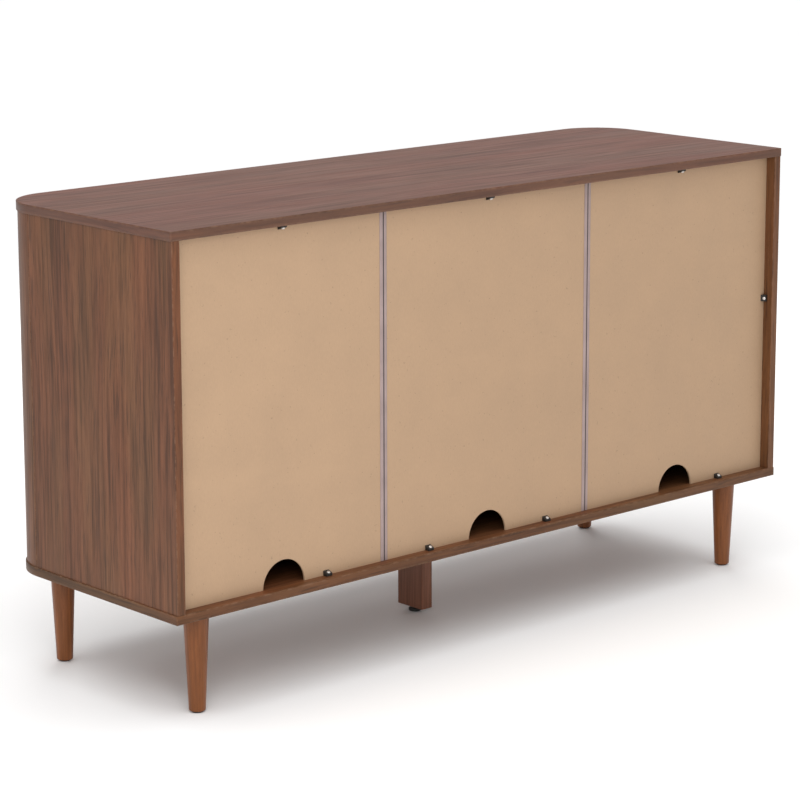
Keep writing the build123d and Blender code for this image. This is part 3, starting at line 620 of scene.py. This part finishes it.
class SIDEBOARD_OT_panels(bpy.types.Operator):
    """Makes the top and bottom panels and the shelves"""

    bl_idname = "sideboard.panels"
    bl_label = "Panels and shelves"

    def execute(self, context):
        sizes = context.scene.sideboard_sizes
        finishes = context.scene.sideboard_finishes
        top = walnut(
            "walnut_top", "u", tuple(finishes.top_walnut), contrast=0.75, gloss=0.42, sheen=0.5
        )
        level = walnut("walnut_level_boards", "u", tuple(finishes.walnut))
        ease = sizes.panel_ease
        sharp, rounded = (ease, 3), (sizes.corner_radius, 32)
        fronts = {
            "top_panel": rounded,
            "bottom_panel": rounded,
            "left_shelf": sharp,
            "middle_shelf": sharp,
            "right_shelf": sharp,
        }
        for index, (name, front) in enumerate(fronts.items()):
            low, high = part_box(name)
            radii, steps = zip(front, sharp, sharp, front)
            shape = rectangle_outline(low[:2], high[:2], radii, (CORNER_MARGIN,) * 4, steps)
            foil = top if name == "top_panel" else level
            shift = (0.37 * index, 0.61 * index)
            piece = board(
                name + "_foil", shape, low[2], high[2] - low[2], ease, foil, shift=shift
            )
            stand_for(piece, name)
        return {"FINISHED"}


class SIDEBOARD_OT_uprights(bpy.types.Operator):
    """Makes the corner posts and finishes the side panels and partitions"""

    bl_idname = "sideboard.uprights"
    bl_label = "Posts, sides and partitions"

    def execute(self, context):
        sizes = context.scene.sideboard_sizes
        color = tuple(context.scene.sideboard_finishes.walnut)
        boards = ("left_side_panel", "right_side_panel", "left_partition", "right_partition")
        low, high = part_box("right_side_panel")
        arrises = ((low[0], high[1]), (high[0], high[1]))
        cover(walnut("walnut_side_panels", "z", color, contrast=1.1, arrises=arrises), *boards)
        ease_edges(sizes.board_ease, *boards)
        foil = walnut("walnut_posts", "u", color, contrast=1.1)
        end_ease = 0.0003
        for name, hand in (("left_corner_post", -1), ("right_corner_post", 1)):
            low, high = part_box(name)
            outer = high[1] - low[1]
            centre = (low[0] if hand > 0 else high[0], high[1])
            shape = post_outline(centre, outer, outer - sizes.post_wall, hand, sizes.seam)
            tall, shift = high[2] - low[2], (0.2 * hand, 0.3)
            piece = board(name + "_foil", shape, low[2], tall, end_ease, foil, True, shift)
            stand_for(piece, name)
        return {"FINISHED"}


class SIDEBOARD_OT_doors(bpy.types.Operator):
    """Makes the doors, each with its half-round pivot edge"""

    bl_idname = "sideboard.doors"
    bl_label = "Doors"

    def execute(self, context):
        ease = context.scene.sideboard_sizes.door_ease
        foil = walnut("walnut_doors", "u", tuple(context.scene.sideboard_finishes.door_walnut))
        hung_left = {"left_door": True, "middle_door": False, "right_door": False}
        for index, (name, pivot_left) in enumerate(hung_left.items()):
            low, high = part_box(name)
            # A hair less than half the thickness, so that the pivot edge's two arcs don't meet.
            half = (high[1] - low[1]) / 2 - 0.00001
            free, pivot = (ease, CORNER_MARGIN, 4), (half, 0.0, 12)
            corners = (free, free, pivot, pivot) if pivot_left else (pivot, pivot, free, free)
            radii, margins, steps = zip(*corners)
            shape = rectangle_outline(low[:2], high[:2], radii, margins, steps)
            tall, shift = high[2] - low[2], (0.41 * index, 0.83 * index)
            stand_for(board(name + "_foil", shape, low[2], tall, ease, foil, True, shift), name)
        return {"FINISHED"}


class SIDEBOARD_OT_knobs(bpy.types.Operator):
    """Turns the knobs"""

    bl_idname = "sideboard.knobs"
    bl_label = "Knobs"

    def execute(self, context):
        brass = metal("satin_brass", SLOT_COLOR["satin_brass"], 0.28)
        base_radius, base_height, base_ease, base_round = 0.0090, 0.0030, 0.0004, 0.0006
        neck_radius, neck_fillet = 0.0060, 0.0020
        flare_depth, flare_height, crown_height, rim_step = 0.0105, 0.0045, 0.0050, 0.0002
        base = [
            [(0.0, 0.0), (base_radius - base_ease, 0.0)],
            bow((base_radius - base_ease, base_ease), base_ease, -60, 0, 3),
            bow((base_radius - base_round, base_height - base_round), base_round, 0, 90, 5),
            bow((neck_radius + neck_fillet, base_height + neck_fillet), neck_fillet, -90, -180, 8),
        ]
        t = np.linspace(0, 1, 12)
        opening = 1 - np.sqrt(1 - t**2 * 0.999)
        for name in ("left_door_knob", "middle_door_knob", "right_door_knob"):
            low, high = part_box(name)
            rim, reach = (high[0] - low[0]) / 2, high[1] - low[1]
            flare = np.stack(
                [
                    neck_radius + (rim - neck_radius) * opening,
                    reach - flare_depth + flare_height * t,
                ],
                1,
            )
            crown = np.stack(
                [
                    (rim - rim_step) * np.cos(t * np.pi / 2),
                    reach - crown_height + crown_height * np.sin(t * np.pi / 2),
                ],
                1,
            )
            profile = np.concatenate([*base, flare[:-1], crown])
            profile[-1, 0] = 0.0
            centre = ((low[0] + high[0]) / 2, high[1], (low[2] + high[2]) / 2)
            stand_for(turned(name + "_turned", profile, centre, "-y", brass, 96), name)
        return {"FINISHED"}


class SIDEBOARD_OT_back(bpy.types.Operator):
    """Finishes the back panels and clips, and draws the joint strips"""

    bl_idname = "sideboard.back"
    bl_label = "Back"

    def execute(self, context):
        colors = context.scene.sideboard_finishes
        cover(
            fibreboard("fibreboard", tuple(colors.fibreboard)),
            "left_back_panel",
            "middle_back_panel",
            "right_back_panel",
        )
        black = plastic("black_plastic", SLOT_COLOR["black_plastic"])
        cover(black, "back_clips", "center_glide")
        ease_edges(0.0004, "back_clips", "center_glide")
        strip = plastic("strip_plastic", tuple(colors.strip))
        for name in ("left_joint_strip", "right_joint_strip"):
            low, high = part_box(name)
            middle = (low[0] + high[0]) / 2
            # Half of the section, from the inner flange round to the channel in the outer one.
            lip = (high[0] - low[0]) / 2
            half = np.array(
                [
                    (lip - 0.0020, 0.0000),
                    (lip - 0.0004, 0.0002),
                    (lip, 0.0007),
                    (lip - 0.0001, 0.0013),
                    (lip - 0.0006, 0.0014),
                    (0.0008, 0.0014),
                    (0.0008, 0.0046),
                    (lip - 0.0006, 0.0046),
                    (lip, 0.0047),
                    (lip, 0.0050),
                    (lip - 0.0005, 0.0055),
                    (lip - 0.0020, 0.0059),
                    (lip - 0.0040, 0.0060),
                    (0.0020, 0.0060),
                    (0.0013, 0.0058),
                    (0.0011, 0.0054),
                    (0.0010, 0.0050),
                ]
            )
            section = np.concatenate([half, half[::-1] * (-1, 1)]) + (middle, low[1])
            # Painted shade darkens the channel: its edge is 1.3 mm from the middle, and its bottom
            # 1 mm deep.
            in_channel = np.clip((0.0013 - np.abs(section[:, 0] - middle)) / 0.0002, 0, 1)
            groove_shade = in_channel * (section[:, 1] > high[1] - 0.001)
            stand_for(drawn(name + "_drawn", section, groove_shade, low[2], high[2], strip), name)
        return {"FINISHED"}


class SIDEBOARD_OT_legs(bpy.types.Operator):
    """Turns the legs and their glides, and finishes the centre leg"""

    bl_idname = "sideboard.legs"
    bl_label = "Legs"

    def execute(self, context):
        colors = context.scene.sideboard_finishes
        stain = stained_wood("leg_wood", tuple(colors.leg))
        foot, foot_round = 0.0135, 0.002
        glide_radius, glide_round, glide_height = 0.0095, 0.0008, 0.0025
        places = []
        for name in ("front_left_leg", "front_right_leg", "back_left_leg", "back_right_leg"):
            low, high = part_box(name)
            x, y, tall = (low[0] + high[0]) / 2, (low[1] + high[1]) / 2, high[2] - low[2]
            top = (high[0] - low[0]) / 2
            profile = np.concatenate(
                [
                    [(0.0, 0.0)],
                    bow((foot - foot_round, foot_round), foot_round, -90, -2, 6),
                    np.linspace((foot + 0.0001, 2 * foot_round), (top, tall - 0.0006), 12),
                    [(top - 0.0004, tall), (0.0, tall)],
                ]
            )
            stand_for(turned(name + "_turned", profile, (x, y, low[2]), "z", stain), name)
            places.append((x, y, 0.0))
        glide = np.concatenate(
            [
                [(0.0, 0.0)],
                bow((glide_radius - glide_round, glide_round), glide_round, -90, 0, 4),
                [(glide_radius, glide_height), (0.0, glide_height)],
            ]
        )
        black = plastic("glide_plastic", SLOT_COLOR["black_plastic"])
        stand_for(turned("leg_glides_turned", glide, places, "z", black, 40), "leg_glides")
        # Painted light: the centre leg's stain is lighter than its own, making up for the shade
        # under the case.
        cover(stained_wood("dark_wood", tuple(colors.dark_wood), gloss=0.45), "center_leg")
        ease_edges(0.0008, "center_leg")
        return {"FINISHED"}


class SIDEBOARD_OT_fittings(bpy.types.Operator):
    """Finishes the fittings"""

    bl_idname = "sideboard.fittings"
    bl_label = "Fittings"

    def execute(self, context):
        by_slot = {
            "zinc_steel": metal("zinc_steel", SLOT_COLOR["zinc_steel"]),
            "white_nylon": plastic("white_nylon", SLOT_COLOR["white_nylon"]),
            "bumper_rubber": plastic("bumper_rubber", SLOT_COLOR["bumper_rubber"], 0.6),
            "magnet_ferrite": plastic("magnet_ferrite", SLOT_COLOR["magnet_ferrite"]),
            "beech": stained_wood("beech", SLOT_COLOR["beech"], gloss=0.6),
        }
        for name in NODES:
            finish = by_slot.get(slot_of(name))
            if finish:
                cover(finish, name)
        cover(metal("bright_zinc", (0.86, 0.84, 0.82), 0.42), "clip_screws")
        return {"FINISHED"}


class SIDEBOARD_OT_stage(bpy.types.Operator):
    """Makes the floor, the lights and the camera"""

    bl_idname = "sideboard.stage"
    bl_label = "Stage"

    def execute(self, context):
        scene = context.scene
        light = scene.sideboard_light
        scene.view_settings.view_transform = "Standard"
        world = bpy.data.worlds.new("studio")
        world.use_nodes = True
        background = world.node_tree.nodes["Background"]
        background.inputs["Color"].default_value = (1, 1, 1, 1)
        background.inputs["Strength"].default_value = light.surround
        scene.world = world
        reach = 60.0
        square = [(-reach, -reach, 0), (reach, -reach, 0), (reach, reach, 0), (-reach, reach, 0)]
        mesh = bpy.data.meshes.new("floor")
        mesh.from_pydata(square, [], [(0, 1, 2, 3)])
        floor = bpy.data.objects.new("floor", mesh)
        scene.collection.objects.link(floor)
        f = Finish("studio_floor", Roughness=0.9, Specular_IOR_Level=0.1)
        clouds = f.noise(f.place(), 0.8, 3.0)
        f.into("Base Color", f.ramp(clouds, (0.3, (0.945,) * 3), (0.7, (0.955,) * 3)))
        mesh.materials.append(f.material)

        def softbox(name, at, aim, side, power, glossy=True):
            lamp = bpy.data.lights.new(name, "AREA")
            lamp.shape = "SQUARE"
            lamp.size = side
            lamp.energy = power
            made = bpy.data.objects.new(name, lamp)
            made.location = at
            made.rotation_euler = (Vector(aim) - Vector(at)).to_track_quat("-Z", "Y").to_euler()
            made.visible_glossy = glossy
            scene.collection.objects.link(made)

        softbox("key", (1.9, 2.0, 1.5), (0.3, 0.2, 0.45), 1.4, light.key)
        softbox("fill", (-1.7, -2.3, 1.6), (-0.2, -0.2, 0.45), 1.6, light.fill, glossy=False)
        sun = bpy.data.lights.new("overhead", "SUN")
        sun.energy = light.overhead
        sun.angle = math.radians(70)
        sky = bpy.data.objects.new("overhead", sun)
        sky.rotation_euler = Vector((-0.12, -0.15, -1.0)).to_track_quat("-Z", "Y").to_euler()
        scene.collection.objects.link(sky)

        lens = bpy.data.cameras.new("camera")
        lens.lens = 127.432
        lens.sensor_width = 36.0
        lens.shift_y = -0.1
        lens.clip_end = 200.0
        camera = bpy.data.objects.new("camera", lens)
        azimuth, elevation, roll = (math.radians(d) for d in (137.777, 11.004, -0.118))
        level = math.cos(elevation)
        back = Vector(
            (math.sin(azimuth) * level, -math.cos(azimuth) * level, math.sin(elevation))
        )
        camera.location = (3.25, 3.56324, 1.45708)
        camera.rotation_mode = "QUATERNION"
        camera.rotation_quaternion = (-back).to_track_quat("-Z", "Y") @ Quaternion((0, 0, 1), roll)
        scene.collection.objects.link(camera)
        scene.camera = camera
        return {"FINISHED"}


OPERATORS = (
    SIDEBOARD_OT_panels,
    SIDEBOARD_OT_uprights,
    SIDEBOARD_OT_doors,
    SIDEBOARD_OT_knobs,
    SIDEBOARD_OT_back,
    SIDEBOARD_OT_legs,
    SIDEBOARD_OT_fittings,
    SIDEBOARD_OT_stage,
)


class SIDEBOARD_PT_build(bpy.types.Panel):
    """Lists the settings and the steps"""

    bl_label = "Sideboard"
    bl_idname = "SIDEBOARD_PT_build"
    bl_space_type = "VIEW_3D"
    bl_region_type = "UI"
    bl_category = "Sideboard"

    def draw(self, context):
        scene = context.scene
        for settings in (scene.sideboard_sizes, scene.sideboard_finishes, scene.sideboard_light):
            box = self.layout.box()
            for name in settings.bl_rna.properties.keys():
                if name not in ("rna_type", "name"):
                    box.prop(settings, name)
        for operator in OPERATORS:
            self.layout.operator(operator.bl_idname)


CLASSES = (
    SIDEBOARD_PG_sizes,
    SIDEBOARD_PG_finishes,
    SIDEBOARD_PG_light,
    *OPERATORS,
    SIDEBOARD_PT_build,
)


def register():
    for cls in CLASSES:
        bpy.utils.register_class(cls)
    bpy.types.Scene.sideboard_sizes = bpy.props.PointerProperty(type=SIDEBOARD_PG_sizes)
    bpy.types.Scene.sideboard_finishes = bpy.props.PointerProperty(type=SIDEBOARD_PG_finishes)
    bpy.types.Scene.sideboard_light = bpy.props.PointerProperty(type=SIDEBOARD_PG_light)


def unregister():
    del bpy.types.Scene.sideboard_light
    del bpy.types.Scene.sideboard_finishes
    del bpy.types.Scene.sideboard_sizes
    for cls in reversed(CLASSES):
        bpy.utils.unregister_class(cls)


def main():
    register()
    for operator in OPERATORS:
        group, step = operator.bl_idname.split(".")
        getattr(getattr(bpy.ops, group), step)()
    bpy.context.view_layer.update()


if __name__ == "__main__":
    main()
